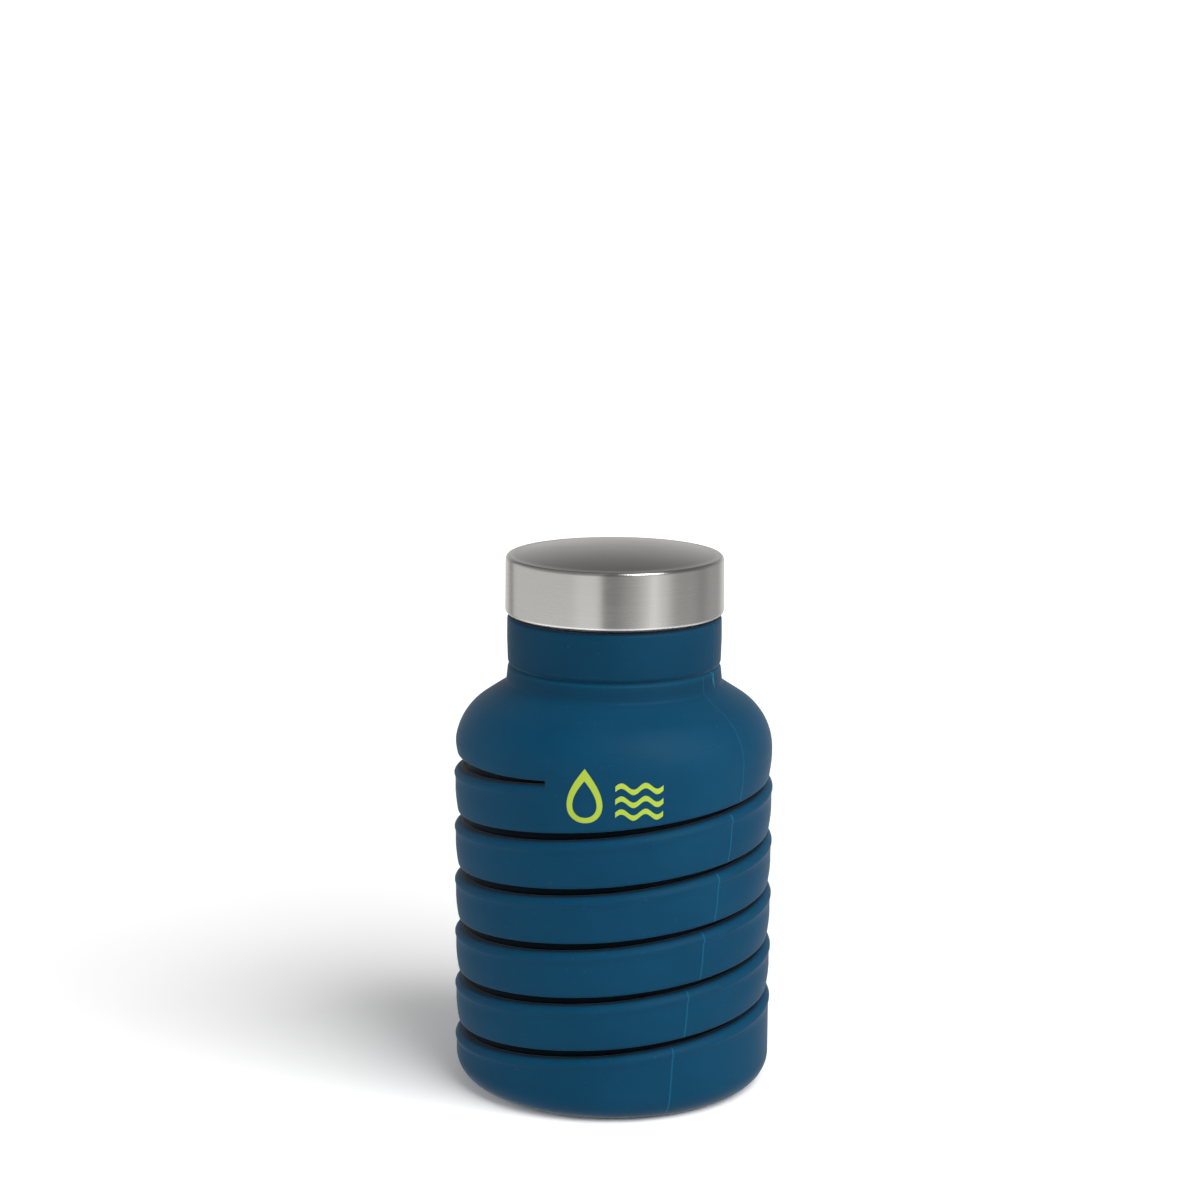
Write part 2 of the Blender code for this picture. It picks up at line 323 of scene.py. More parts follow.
def groove_mouth(turn):
    """Heights of the groove's upper lip and of the edge below it. Past the groove's top end
    both stay just under the fold's top plane, where nothing is cut."""
    leftward = -math.cos(GROOVE_AZIMUTH + 2 * math.pi * turn)
    lip = plain_height(min(turn, GROOVE_TURNS)) + LIP_LEAN * max(0.0, leftward)
    gap = GROOVE_GAP + GAP_LEAN * leftward
    before_end = (GROOVE_TURNS - turn) * TURN_LENGTH
    narrowness = math.exp(-(max(0.0, before_end) / END_REACH * NARROWING_RATE) ** 2)
    narrowing = (gap - END_GAP) * narrowness
    swelling = END_SWELL * math.exp(-(((before_end - END_REACH) / END_REACH) * SWELLING_RATE) ** 2)
    lip += swelling - narrowing
    gap += swelling - narrowing
    if turn > GROOVE_TURNS:
        room = FOLD_TOP - lip
        lip += room * min(PAST_END_SHARE, (turn - GROOVE_TURNS) * PAST_END_RATE)
    return lip, gap


def grooves_below(azimuth, z):
    """How many times the groove passes below a point, and the height of the last pass."""
    start = ((azimuth - GROOVE_AZIMUTH) / (2 * math.pi)) % 1.0
    count, height = 0, 0.0
    turn = start
    while turn < GROOVE_TURNS and plain_height(turn) - GROOVE_GAP / 2 < z:
        count += 1
        height = plain_height(turn)
        turn += 1
    return count, height


def parting_line(azimuth, z):
    """Degrees round from the front, less any half turn, where the parting line stands at a
    height on this side of the bottle."""
    if z > NECK_RIDGE:
        return PARTING_NECK
    back = abs(front_angle(azimuth) - PARTING_START) > 90
    passed, height = grooves_below(azimuth, z)
    steps = min(5, max(0, passed - 0.5)) if back else passed
    return PARTING_START + PARTING_STEP * steps + PARTING_SLOPE * (z - height - GROOVE_PITCH / 2)


SKIN_START = GROOVE_AZIMUTH - lean(groove_mouth(0.0)[0])


def skin_azimuths():
    """Where the skin's columns stand at floor height: close together at the parting lines and
    at the groove's ends, wider apart elsewhere."""
    coarse, fine, near = 0.9, 0.15, 0.8
    heights = 50
    lines = []
    for half in (0, 180):
        for k in range(1, heights):
            z = NECK_TOP * k / heights
            about = PARTING_START + PARTING_STEP * z / GROOVE_PITCH + half
            line = parting_line(math.radians(about - 90), z) + half
            lines.append(line - math.degrees(lean(z)))
    top_lean = lean(groove_mouth(GROOVE_TURNS)[0])
    top_end = 180 - math.degrees(top_lean - lean(groove_mouth(0.0)[0]))
    found = []
    travelled = 0.0
    while travelled < 360 - fine:
        azimuth = SKIN_START + math.radians(travelled)
        found.append(azimuth)
        seen = front_angle(azimuth) % 360
        special = (
            any(abs(seen - line) < near for line in lines)
            or travelled < near
            or abs(travelled - top_end) < near
        )
        travelled += fine if special else coarse
    return found


def body_radius(z):
    """Outside radius of the plain body and shoulder, below the cone of the shoulder."""
    above = max(0.0, z - SHOULDER_SPRING)
    return BODY_RADIUS - SHOULDER_RADIUS + math.sqrt(SHOULDER_RADIUS ** 2 - above ** 2)


def bump(distance, width):
    return math.exp(-(distance / width) ** 2)


def parting(azimuth, r, z):
    """Push and flash of the mould's parting line and of the flash left at the neck's foot, and
    the painted highlight on the ridge's edge."""
    if r < BODY_RADIUS / 2 or z < 0.2 * MM:
        return 0.0, 0.0
    seen = front_angle(azimuth)
    line = parting_line(azimuth, z)
    away = ((seen - line + 90) % 180 - 90) * math.radians(1) * r
    ridge = bump(away, PARTING_WIDTH)
    push = PARTING_HEIGHT * ridge * (FAINT_SHARE if z > FAINT_FROM else 1.0)
    flash_and_highlight = (FAINT_FLASH if z > FAINT_FROM else PARTING_FLASH) * ridge
    # painted highlight along the edge below the neck's ridge, carried with the flash
    flash_and_highlight += EDGE_HIGHLIGHT * bump(z - NECK_RIDGE + EDGE_BELOW, EDGE_WIDTH)
    nub = (z - NUB_FOOT) / (NUB_TOP - NUB_FOOT)
    if 0 < nub < 1:
        swing = NUB_SWING * math.sin(NUB_WAVE * nub)
        away = (seen - PARTING_NECK) * math.radians(1) * r - swing
        ridge = bump(away, NUB_WIDTH) * math.sin(math.pi * nub)
        push += NUB_HEIGHT * ridge
        flash_and_highlight += NUB_FLASH * ridge
    return push, min(1.0, flash_and_highlight)


# Printed mark, in arc length round from the front and in height
MARK_STROKE = 1.25 * MM
DROP_CENTRE = -6.6 * MM
DROP_WIDTH = 8.2 * MM
DROP_FOOT = 71.5 * MM
DROP_HEIGHT = 12.5 * MM
FULL_BULGE = 2.6                # makes the droplet's widest place 1
WAVES = 3
WAVE_START = 0.4 * MM
WAVE_LENGTH = 5.5 * MM
WAVE_COUNT = 2                  # lengths in each
WAVE_SWING = 0.75 * MM
WAVE_LEVEL = 73.6 * MM
WAVE_STEP = 3.0 * MM

# Outline where the groove crosses, in millimetres: height from the lower edge of its mouth,
# as a share of the mouth, or from its upper lip; and depth below the plain wall
CROWN = [(-2.6, 0.0), (-2.3, -0.12), (-1.95, -0.24), (-1.55, -0.25), (-1.2, -0.12),
         (-0.88, 0.1), (-0.58, 0.38), (-0.33, 0.7)]
SLOT = [(-0.14, 1.12), (-0.03, 1.55), (0.0, 2.0), (-0.06, 2.45), (-0.1, 2.8), (0.0, 3.05),
        (0.25, 3.2), (0.6, 3.2), (0.92, 3.05), (1.05, 2.6), (1.07, 2.0), (1.04, 1.5),
        (1.0, 1.0)]
LIP = [(0.05, 0.76), (0.18, 0.62), (0.6, 0.5), (1.2, 0.4), (2.2, 0.26), (3.4, 0.12),
       (5.0, 0.0)]
SLOT_EDGE = 0.7                 # depth of the slot's mouth where its ends have closed
SHADED_FROM = 0.8               # depths between which the painted shade inside the groove begins
SHADED_TO = 2.0


def closing(turn, length):
    """0 where the groove has ended, 1 where it is fully open."""
    inside = min(turn, GROOVE_TURNS - turn) * TURN_LENGTH
    share = min(1.0, max(0.0, inside / length))
    return math.sqrt(1 - (1 - share) ** 2)


def crossing_rows(turn, lip, gap, room_below, room_above):
    """Rows of (radius, height) where one column crosses the groove at this turn."""
    down = room_below / -CROWN[0][0]
    up = room_above / LIP[-1][0]
    slot_open = closing(turn, SLOT_FADE)
    band_open = closing(turn, BAND_FADE)
    heights = [(lip - gap + dz * down, depth) for dz, depth in CROWN]
    first = CROWN[-1][0] * down / gap
    for k, (share, depth) in enumerate(SLOT, start=1):
        even = first + (1 - first) * k / len(SLOT)
        share = even + (share - even) * slot_open
        heights.append((lip - gap + share * gap, depth))
    heights += [(lip + dz * up, depth) for dz, depth in LIP]
    rows = []
    for z, depth in heights:
        if depth > SLOT_EDGE:
            depth = SLOT_EDGE * band_open + (depth - SLOT_EDGE) * slot_open
        else:
            depth = depth * band_open
        rows.append((body_radius(z) - depth * MM, z))
    return rows


def between(low, high, count):
    """Rows of the plain wall strictly between two heights."""
    heights = [low + (high - low) * k / (count + 1) for k in range(1, count + 1)]
    return [(body_radius(z), z) for z in heights]


def fold_column(azimuth):
    """The outside of the wall along one column, as a list of blocks of rows: the wall below
    the groove, then each crossing and the band above it."""
    crossings = []
    for k in range(CROSSINGS):
        turn = (azimuth - SKIN_START) / (2 * math.pi) + k
        # the lip's height sets how far the column has leant there, which sets the turn
        for _ in range(5):
            lip, gap = groove_mouth(turn)
            turn = (azimuth + lean(lip) - GROOVE_AZIMUTH) / (2 * math.pi) + k
        crossings.append((turn, lip, gap))
    blocks = []
    margin = 0.1 * MM
    floor = FOLD_BOTTOM
    for k, (turn, lip, gap) in enumerate(crossings):
        gap = min(gap, 0.5 * (lip - floor))
        room_below = min(-CROWN[0][0] * MM, lip - gap - floor - margin)
        room_above = min(LIP[-1][0] * MM, FOLD_TOP - margin - lip)
        rows = crossing_rows(turn, lip, gap, room_below, room_above)
        if k == 0:
            blocks.append([(BODY_RADIUS, floor)] + between(floor, rows[0][1], 5))
        else:
            blocks[-1] += between(blocks[-1][-1][1], rows[0][1], 2)
        blocks.append(rows)
        floor = rows[-1][1]
    plane = FOLD_TOP - margin / 2
    top = between(floor, plane, 2)
    blocks.append(top + [(body_radius(z), z) for z in (plane, FOLD_TOP)])
    return blocks


def make_fold_wall():
    skin = Skin()
    columns = []
    for azimuth in skin_azimuths():
        blocks = []
        for block in fold_column(azimuth):
            indices = []
            for r, z in block:
                placed = azimuth + lean(z)
                push, flash_and_highlight = parting(placed, BODY_RADIUS, z)
                depth = (body_radius(z) - r) / MM
                # painted shade: deeper in the groove the colour is darkened, where little light
                # gets in
                shade = (depth - SHADED_FROM) / (SHADED_TO - SHADED_FROM)
                shade = min(1.0, max(0.0, shade))
                open_air = 1 - shade
                place = (r + push * open_air, placed, z)
                indices.append(skin.add(*place, flash_and_highlight * open_air, shade=shade))
            blocks.append(indices)
        columns.append(blocks)
    for left, right in zip(columns, columns[1:]):
        skin.strip(sum(left, []), sum(right, []))
    last, first = columns[-1], columns[0]
    matched_left = sum(last[1:CROSSINGS], [])
    matched_right = sum(first[2:CROSSINGS + 1], [])
    # the last crossing's block holds no band above it, so the pair ends at the same row
    rows = min(len(matched_left), len(matched_right))
    skin.strip(matched_left[:rows], matched_right[:rows])
    skin.zipped(last[0] + matched_left[:1], first[0] + first[1] + matched_right[:1])
    left_rest = matched_left[rows - 1:] + last[CROSSINGS] + last[CROSSINGS + 1]
    skin.zipped(left_rest, matched_right[rows - 1:] + first[CROSSINGS + 1])
    inner = []
    for azimuth in round_azimuths(120):
        heights = [FOLD_TOP + (FOLD_BOTTOM - FOLD_TOP) * k / 24 for k in range(25)]
        inner.append([skin.add(INNER_RADIUS, azimuth, z) for z in heights])
    for left, right in zip(inner, inner[1:] + inner[:1]):
        skin.strip(left, right)
    return skin.piece("silicone_fold_wall")


def make_base():
    recess = FOOT_RECESS_DEPTH
    outside = rounded([
        (0.0, recess, 0),
        (FOOT_RECESS_RADIUS, recess, 0.4 * MM),
        (FOOT_RECESS_RADIUS + recess, 0.0, 0.4 * MM),
        (BODY_RADIUS, 0.0, BASE_FILLET),
        (BODY_RADIUS, FOLD_BOTTOM - 0.2 * MM, 0),
        (BODY_RADIUS, FOLD_BOTTOM, 0),
    ], step=5)
    inside = rounded([
        (INNER_RADIUS, FOLD_BOTTOM, 0),
        (INNER_RADIUS, FLOOR_THICKNESS, 3 * MM),
        (0.0, FLOOR_THICKNESS, 0),
    ])
    return turned("silicone_base", [outside, inside], skin_azimuths(), shape=parting, lean=lean)


def make_shoulder():
    arc_centre = BODY_RADIUS - SHOULDER_RADIUS
    steps = 60
    outline = [(body_radius(z), z) for z in (FOLD_TOP, FOLD_TOP + 0.05 * MM)]
    for k in range(steps + 1):
        angle = math.radians(SHOULDER_SWEEP) * k / steps
        z = SHOULDER_SPRING + SHOULDER_RADIUS * math.sin(angle)
        if z > FOLD_TOP + 0.2 * MM:
            outline.append((arc_centre + SHOULDER_RADIUS * math.cos(angle), z))
    cone_top = outline.pop()
    upper = rounded([
        (*cone_top, 0),
        (NECK_FOOT_RADIUS + 0.1 * MM, NECK_FOOT, 1.1 * MM),
        (NECK_RADIUS - 0.1 * MM, NECK_RIDGE - 0.3 * MM, 0.6 * MM),
        (NECK_RADIUS - 0.9 * MM, NECK_RIDGE + 0.35 * MM, 0.2 * MM),
        (NECK_RADIUS - 0.12 * MM, NECK_RIDGE + 1.1 * MM, 0.9 * MM),
        (NECK_RADIUS + 0.05 * MM, NECK_RIDGE + 6.5 * MM, 30 * MM),
        (NECK_RADIUS, NECK_TOP, 0.8 * MM),
        (NECK_BORE, NECK_TOP, 0.3 * MM),
        (NECK_BORE, LEDGE_TOP, 0),
        (LEDGE_RADIUS, LEDGE_TOP, 0.5 * MM),
        (LEDGE_RADIUS, LEDGE_TOP - 4 * MM, 2 * MM),
        (28.6 * MM, 89.5 * MM, 5 * MM),
        (INNER_RADIUS, FOLD_TOP + 1 * MM, 2 * MM),
        (INNER_RADIUS, FOLD_TOP, 0),
    ], step=8)
    outline += divided(upper, 0.8 * MM, low=FOLD_TOP + 5 * MM)
    return turned("silicone_shoulder", [outline], skin_azimuths(), shape=parting, lean=lean)


# ---- Threaded insert, liner, seal and cap ---------------------------------------------------

def thread_shape(wall, direction, first):
    """shape() for a wall that carries the two-start thread, outside (1) or inside (-1)."""
    slope = (THREAD_FOOT - THREAD_CREST) / 2

    def shape(azimuth, r, z):
        if abs(r - wall) > 0.02 * MM:
            return 0.0, 0.0
        height = 0.0
        for k in range(THREAD_STARTS):
            start = first + 2 * math.pi * k / THREAD_STARTS
            turned_by = (azimuth - start) % (2 * math.pi)
            if turned_by > THREAD_SWEEP:
                continue
            centre = THREAD_BASE + THREAD_LEAD * turned_by / (2 * math.pi)
            flank = (THREAD_FOOT / 2 - abs(z - centre)) / slope
            flank = min(1.0, max(0.0, flank))
            ends = min(1.0, THREAD_RUNOUT * turned_by / THREAD_SWEEP,
                       THREAD_RUNOUT * (1 - turned_by / THREAD_SWEEP))
            rise = flank * flank * (3 - 2 * flank) * math.sin(ends * math.pi / 2)
            height = max(height, THREAD_HEIGHT * rise)
        return direction * height, 0.0

    return shape


def make_insert():
    outline = rounded([
        (MOUTH_RADIUS, INSERT_BOTTOM, 0.4 * MM),
        (BARREL_RADIUS, INSERT_BOTTOM, 0.4 * MM),
        (BARREL_RADIUS, COLLAR_BOTTOM, 0.2 * MM),
        (COLLAR_RADIUS, COLLAR_BOTTOM, 0.25 * MM),
        (COLLAR_RADIUS, COLLAR_TOP, 0.3 * MM),
        (SPOUT_RADIUS, COLLAR_TOP, 0.3 * MM),
        (SPOUT_RADIUS, SPOUT_TOP, 0.7 * MM),
        (MOUTH_RADIUS, SPOUT_TOP, 0.7 * MM),
    ], closed=True)
    low, high = COLLAR_TOP + 0.3 * MM, SPOUT_TOP - 1 * MM
    outline = divided(outline, THREAD_ROW, low=low, high=high)
    shape = thread_shape(SPOUT_RADIUS, 1, THREAD_AZIMUTH)
    azimuths = round_azimuths(THREAD_COLUMNS)
    return turned("threaded_neck_insert", [outline], azimuths, shape, closed=True)


def make_liner():
    outline = rounded([
        (0.0, PLATE_BOTTOM, 0),
        # a low ring that keeps the seal centred
        (15.0 * MM, PLATE_BOTTOM, 0.2 * MM),
        (15.4 * MM, PLATE_BOTTOM - 0.5 * MM, 0.2 * MM),
        (16.8 * MM, PLATE_BOTTOM - 0.5 * MM, 0.2 * MM),
        (17.2 * MM, PLATE_BOTTOM, 0.2 * MM),
        (LINER_BORE, PLATE_BOTTOM, 0.3 * MM),
        (LINER_BORE, LINER_BOTTOM, 0.4 * MM),
        (LINER_RADIUS, LINER_BOTTOM, 0.3 * MM),
        (LINER_RADIUS, LINER_TOP, 0.5 * MM),
        (0.0, LINER_TOP, 0),
    ])
    low, high = LINER_BOTTOM + 0.5 * MM, PLATE_BOTTOM - 0.5 * MM
    outline = divided(outline, THREAD_ROW, low=low, high=high)
    first = THREAD_AZIMUTH + math.pi / THREAD_STARTS
    shape = thread_shape(LINER_BORE, -1, first)
    return turned("threaded_cap_liner", [outline], round_azimuths(THREAD_COLUMNS), shape)


def make_seal():
    middle = (SEAL_TOP + SEAL_BOTTOM) / 2
    outline = rounded([
        (SEAL_INNER, SEAL_BOTTOM, 0.35 * MM),
        (SEAL_OUTER, SEAL_BOTTOM, 0.35 * MM),
        (SEAL_OUTER - 0.25 * MM, middle, 0.1 * MM),
        (SEAL_OUTER, SEAL_TOP, 0.35 * MM),
        (SEAL_INNER, SEAL_TOP, 0.35 * MM),
    ], closed=True)
    return turned("soft_seal_ring", [outline], round_azimuths(192), closed=True)


def make_shell():
    inner = CAP_RADIUS - SHELL_THICKNESS
    dome_radius = CAP_RADIUS - CAP_TAPER - CAP_CORNER * 0.6
    steps = 24
    dome = []
    under = []
    for k in range(steps + 1):
        share = 1 - k / steps
        rise = CAP_RISE * (1 - share * share)
        dome.append((share * dome_radius, CAP_EDGE - 0.15 * MM + rise))
        if k:
            under.append((share * dome_radius, CAP_EDGE - SHELL_THICKNESS + rise))
    corner = rounded([
        (inner - 0.5 * MM, CAP_RIM + 0.45 * MM, 0),
        (inner - 0.35 * MM, CAP_RIM, 0.3 * MM),
        (CAP_RADIUS, CAP_RIM + 0.05 * MM, 1.0 * MM),
        (CAP_RADIUS - CAP_TAPER, CAP_EDGE, 0.95 * MM),
        (dome[1][0], dome[1][1], 0),
    ], step=9)
    outline = corner + dome[2:] + under[::-1]
    outline += [(inner, CAP_EDGE - 1.2 * MM), (inner, CAP_RIM + 0.9 * MM)]
    return turned("steel_cap_shell", [outline], round_azimuths(256), closed=True)


# ---- Materials ------------------------------------------------------------------------------

class Nodes:
    """Short calls for building a node tree."""

    def __init__(self, block, shader="Principled BSDF"):
        block.use_nodes = True
        self.tree = block.node_tree
        self.shader = self.tree.nodes[shader]

    def add(self, kind, **settings):
        node = self.tree.nodes.new(kind)
        for key, value in settings.items():
            setattr(node, key, value)
        return node

    def link(self, source, target):
        self.tree.links.new(source, target)

    def attribute(self, name, output="Vector"):
        return self.add("ShaderNodeAttribute", attribute_name=name).outputs[output]

    def math(self, operation, a, b=None, c=None):
        node = self.add("ShaderNodeMath", operation=operation)
        for socket, value in zip(node.inputs, (a, b, c)):
            if value is None:
                continue
            if isinstance(value, (int, float)):
                socket.default_value = value
            else:
                self.link(value, socket)
        return node.outputs[0]

    def noise(self, vector, scale, detail=2.0, roughness=0.5):
        node = self.add("ShaderNodeTexNoise")
        node.inputs["Scale"].default_value = scale
        node.inputs["Detail"].default_value = detail
        node.inputs["Roughness"].default_value = roughness
        self.link(vector, node.inputs["Vector"])
        return node.outputs["Fac"]

    def stretched(self, vector, scale):
        node = self.add("ShaderNodeMapping")
        node.inputs["Scale"].default_value = scale
        self.link(vector, node.inputs["Vector"])
        return node.outputs["Vector"]

    def ranged(self, value, low, high, to_low, to_high, smooth=False):
        node = self.add("ShaderNodeMapRange")
        if smooth:
            node.interpolation_type = "SMOOTHSTEP"
        limits = {"From Min": low, "From Max": high, "To Min": to_low, "To Max": to_high}
        for key, number in limits.items():
            node.inputs[key].default_value = number
        self.link(value, node.inputs["Value"])
        return node.outputs["Result"]

    def mix(self, factor, a, b):
        node = self.add("ShaderNodeMix", data_type="RGBA")
        colour_a, colour_b = node.inputs[6], node.inputs[7]
        for socket, value in ((node.inputs["Factor"], factor), (colour_a, a), (colour_b, b)):
            if isinstance(value, (int, float, tuple)):
                socket.default_value = (*value, 1.0) if isinstance(value, tuple) else value
            else:
                self.link(value, socket)
        return node.outputs[2]

    def bump(self, height, distance, strength=1.0):
        node = self.add("ShaderNodeBump")
        node.inputs["Strength"].default_value = strength
        node.inputs["Distance"].default_value = distance
        self.link(height, node.inputs["Height"])
        return node.outputs["Normal"]

    def set(self, **values):
        for key, value in values.items():
            socket = self.shader.inputs[key.replace("_", " ")]
            if isinstance(value, (int, float)):
                socket.default_value = value
            elif isinstance(value, tuple):
                socket.default_value = (*value, 1.0)
            else:
                self.link(value, socket)


def mark(n, around, rest):
    """Mask of the printed mark on the front: a droplet outline beside three short waves."""
    axes = n.add("ShaderNodeSeparateXYZ")
    n.link(around, axes.inputs[0])
    across, height = axes.outputs["X"], axes.outputs["Y"]
    depth = n.add("ShaderNodeSeparateXYZ")
    n.link(rest, depth.inputs[0])
    side = n.math("ABSOLUTE", n.math("SUBTRACT", across, DROP_CENTRE))

    def droplet(foot, tall, wide):
        up = n.math("DIVIDE", n.math("SUBTRACT", height, foot), tall)
        taper = n.math("SUBTRACT", 1.0, up)
        bulge = n.math("MULTIPLY", n.math("SQRT", n.math("MAXIMUM", up, 0.0)), taper)
        half = n.math("MULTIPLY", bulge, FULL_BULGE * wide / 2)
        return n.math("LESS_THAN", side, half)

    # the hollow is shorter than a plain inset, because the strokes meet at the droplet's tip
    hollow = droplet(DROP_FOOT + MARK_STROKE, DROP_HEIGHT - 3.2 * MARK_STROKE,
                     DROP_WIDTH - 2.1 * MARK_STROKE)
    mask = n.math("SUBTRACT", droplet(DROP_FOOT, DROP_HEIGHT, DROP_WIDTH), hollow)
    phase = n.math("MULTIPLY", n.math("SUBTRACT", across, WAVE_START), 2 * math.pi / WAVE_LENGTH)
    swing = n.math("MULTIPLY", n.math("SINE", phase), WAVE_SWING)
    inside = n.math("MULTIPLY", n.math("GREATER_THAN", across, WAVE_START),
                    n.math("LESS_THAN", across, WAVE_START + WAVE_COUNT * WAVE_LENGTH))
    for k in range(WAVES):
        level = n.math("SUBTRACT", n.math("SUBTRACT", height, WAVE_LEVEL + k * WAVE_STEP), swing)
        near = n.math("LESS_THAN", n.math("ABSOLUTE", level), MARK_STROKE / 2)
        mask = n.math("MAXIMUM", mask, n.math("MULTIPLY", near, inside))
    in_front = n.math("LESS_THAN", depth.outputs["Y"], 0.0)
    return n.math("MULTIPLY", mask, in_front)


SILICONE_DARK = (0.0016, 0.033, 0.071)
SILICONE_LIGHT = (0.0022, 0.037, 0.078)
SPECK_COLOUR = (0.05, 0.14, 0.21)
FLASH_AND_HIGHLIGHT_COLOUR = (0.010, 0.17, 0.28)
MARK_COLOUR = (0.27, 0.36, 0.038)
# colour of the painted shade inside the groove and on the neck
SHADE_COLOUR = (0.0006, 0.004, 0.008)
NECK_SHADE = 0.24               # how much painted shade darkens the neck compared with the bands


def silicone_material():
    material = bpy.data.materials.new("teal_silicone")
    n = Nodes(material)
    rest = n.attribute("rest")
    flash_and_highlight = n.attribute("flash_and_highlight", "Fac")
    broad = n.noise(rest, 45, 3)
    fine = n.noise(rest, 1100, 2)
    colour = n.mix(n.ranged(broad, 0.35, 0.65, 0, 1), SILICONE_DARK, SILICONE_LIGHT)
    speck = n.ranged(n.noise(rest, 1500, 0), 0.80, 0.83, 0, 0.13)
    colour = n.mix(speck, colour, SPECK_COLOUR)
    # lighter parting flash, and the painted highlight below the neck's ridge
    colour = n.mix(flash_and_highlight, colour, FLASH_AND_HIGHLIGHT_COLOUR)
    printed = mark(n, n.attribute("around"), rest)
    colour = n.mix(printed, colour, MARK_COLOUR)
    # painted shade inside the groove
    colour = n.mix(n.attribute("shade", "Fac"), colour, SHADE_COLOUR)
    # painted shade on the neck, which the shoulder hides from the light off the floor
    height = n.add("ShaderNodeSeparateXYZ")
    n.link(rest, height.inputs[0])
    low, high = NECK_FOOT - 1 * MM, NECK_FOOT + 1.5 * MM
    painted_neck_shade = n.ranged(height.outputs["Z"], low, high, 0.0, NECK_SHADE)
    colour = n.mix(painted_neck_shade, colour, SHADE_COLOUR)
    n.set(Base_Color=colour)
    n.set(Roughness=n.ranged(broad, 0.3, 0.7, 0.46, 0.54))
    n.set(IOR=1.43, Specular_IOR_Level=0.055, Sheen_Weight=0.09, Sheen_Roughness=0.35)
    n.set(Normal=n.bump(fine, 0.00002, 0.35))
    return material


def brushed_steel(name):
    """The cap's side, brushed round its axis."""
    material = bpy.data.materials.new(name)
    n = Nodes(material)
    grain = n.attribute("grain")
    streaks = n.noise(n.stretched(grain, (1.6, 1.6, 9000)), 1.0, 3, 0.6)
    broad = n.noise(n.stretched(grain, (2.0, 2.0, 260)), 1.0, 2)
    tone = n.ranged(streaks, 0.3, 0.7, 0.2, 0.8)
    n.set(Base_Color=n.mix(tone, (0.81, 0.795, 0.77), (0.89, 0.875, 0.85)), Metallic=1.0)
    rough = n.ranged(streaks, 0.3, 0.7, 0.24, 0.28)
    n.set(Roughness=n.math("ADD", rough, n.ranged(broad, 0.3, 0.7, -0.015, 0.015)))
    n.set(Anisotropic=0.75, Anisotropic_Rotation=0.25)
    tangent = n.add("ShaderNodeTangent", direction_type="RADIAL", axis="Z")
    n.link(tangent.outputs["Tangent"], n.shader.inputs["Tangent"])
    n.set(Normal=n.bump(streaks, 0.000003, 0.25))
    return material


def satin_steel(name):
    """The cap's domed top, with an even satin finish."""
    material = bpy.data.materials.new(name)
    n = Nodes(material)
    rest = n.attribute("rest")
    fine = n.noise(rest, 2500, 2)
    broad = n.noise(rest, 70, 2)
    n.set(Base_Color=n.mix(fine, (0.835, 0.82, 0.795), (0.85, 0.835, 0.81)), Metallic=1.0)
    n.set(Roughness=n.ranged(broad, 0.3, 0.7, 0.24, 0.27))
    return material


def plastic_material(name, colour, roughness):
    material = bpy.data.materials.new(name)
    n = Nodes(material)
    rest = n.attribute("rest")
    fine = n.noise(rest, 1500, 2)
    broad = n.noise(rest, 60, 2)
    lighter = tuple(min(1.0, c * 1.25) for c in colour)
    n.set(Base_Color=n.mix(n.ranged(broad, 0.35, 0.65, 0, 1), colour, lighter))
    n.set(Roughness=n.ranged(fine, 0.3, 0.7, roughness - 0.05, roughness + 0.06))
    n.set(Normal=n.bump(fine, 0.00001, 0.3))
    return material


def floor_material():
    material = bpy.data.materials.new("pale_floor")
    n = Nodes(material)
    n.set(Base_Color=(0.92, 0.92, 0.92), Roughness=0.8, Specular_IOR_Level=0.0)
    n.set(Emission_Color=(1.0, 1.0, 1.0))
    reach = n.add("ShaderNodeVectorMath", operation="LENGTH")
    n.link(n.attribute("rest"), reach.inputs[0])
    n.set(Emission_Strength=n.ranged(reach.outputs["Value"], 0.12, 1.0, 0.0, 0.75))
    return material


# ---- The object -----------------------------------------------------------------------------

def dress(piece, material, body, slot, *nodes):
    piece.data.materials.append(material)
    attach(piece, body)
    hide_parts(*nodes)


silicone = silicone_material()
base = make_base()
dress(base, silicone, "base", "silicone_body", "base_cup")
fold_wall = make_fold_wall()
dress(fold_wall, silicone, "base", "silicone_body",
      "coil_1", "coil_2", "coil_3", "coil_4", "coil_5")
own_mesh(fold_wall)
shoulder = make_shoulder()
dress(shoulder, silicone, "neck", "silicone_body", "shoulder_neck")
insert = make_insert()
dress(insert, plastic_material("insert_plastic", (0.020, 0.024, 0.028), 0.38),
      "neck", "insert_plastic", "neck_insert")
liner = make_liner()
dress(liner, plastic_material("liner_plastic", (0.028, 0.032, 0.036), 0.4),
      "cap", "liner_plastic", "cap_liner")
seal = make_seal()
dress(seal, plastic_material("seal_rubber", (0.55, 0.57, 0.57), 0.5),
      "seal", "seal_rubber", "seal_ring")
shell = make_shell()
dress(shell, brushed_steel("brushed_cap_steel"), "cap", "brushed_steel", "cap_shell")
shell.data.materials.append(satin_steel("satin_cap_top"))
satin_from = CAP_EDGE + 0.15 * MM
for face in shell.data.polygons:
    if face.center.z > satin_from:
        face.material_index = 1


# ---- Floor, light and camera ----------------------------------------------------------------

def make_floor():
    """A flat floor that curves up into a low wall all round."""
    flat, wall_radius, wall_height, steps = 1.4, 2.2, 0.9, 16
    outline = [(0.0, 0.0), (flat, 0.0)]
    for k in range(1, steps + 1):
        angle = math.radians(90) * k / steps
        outline.append((flat + (wall_radius - flat) * math.sin(angle),
                        (wall_radius - flat) * (1 - math.cos(angle))))
    outline.append((wall_radius, wall_height))
    outline = outline[::-1]
    floor = turned("floor", [outline], round_azimuths(96))
    floor.data.materials.append(floor_material())
    floor.visible_glossy = False    # mirrors see the world's TABLE_GLOW in its place
    return floor


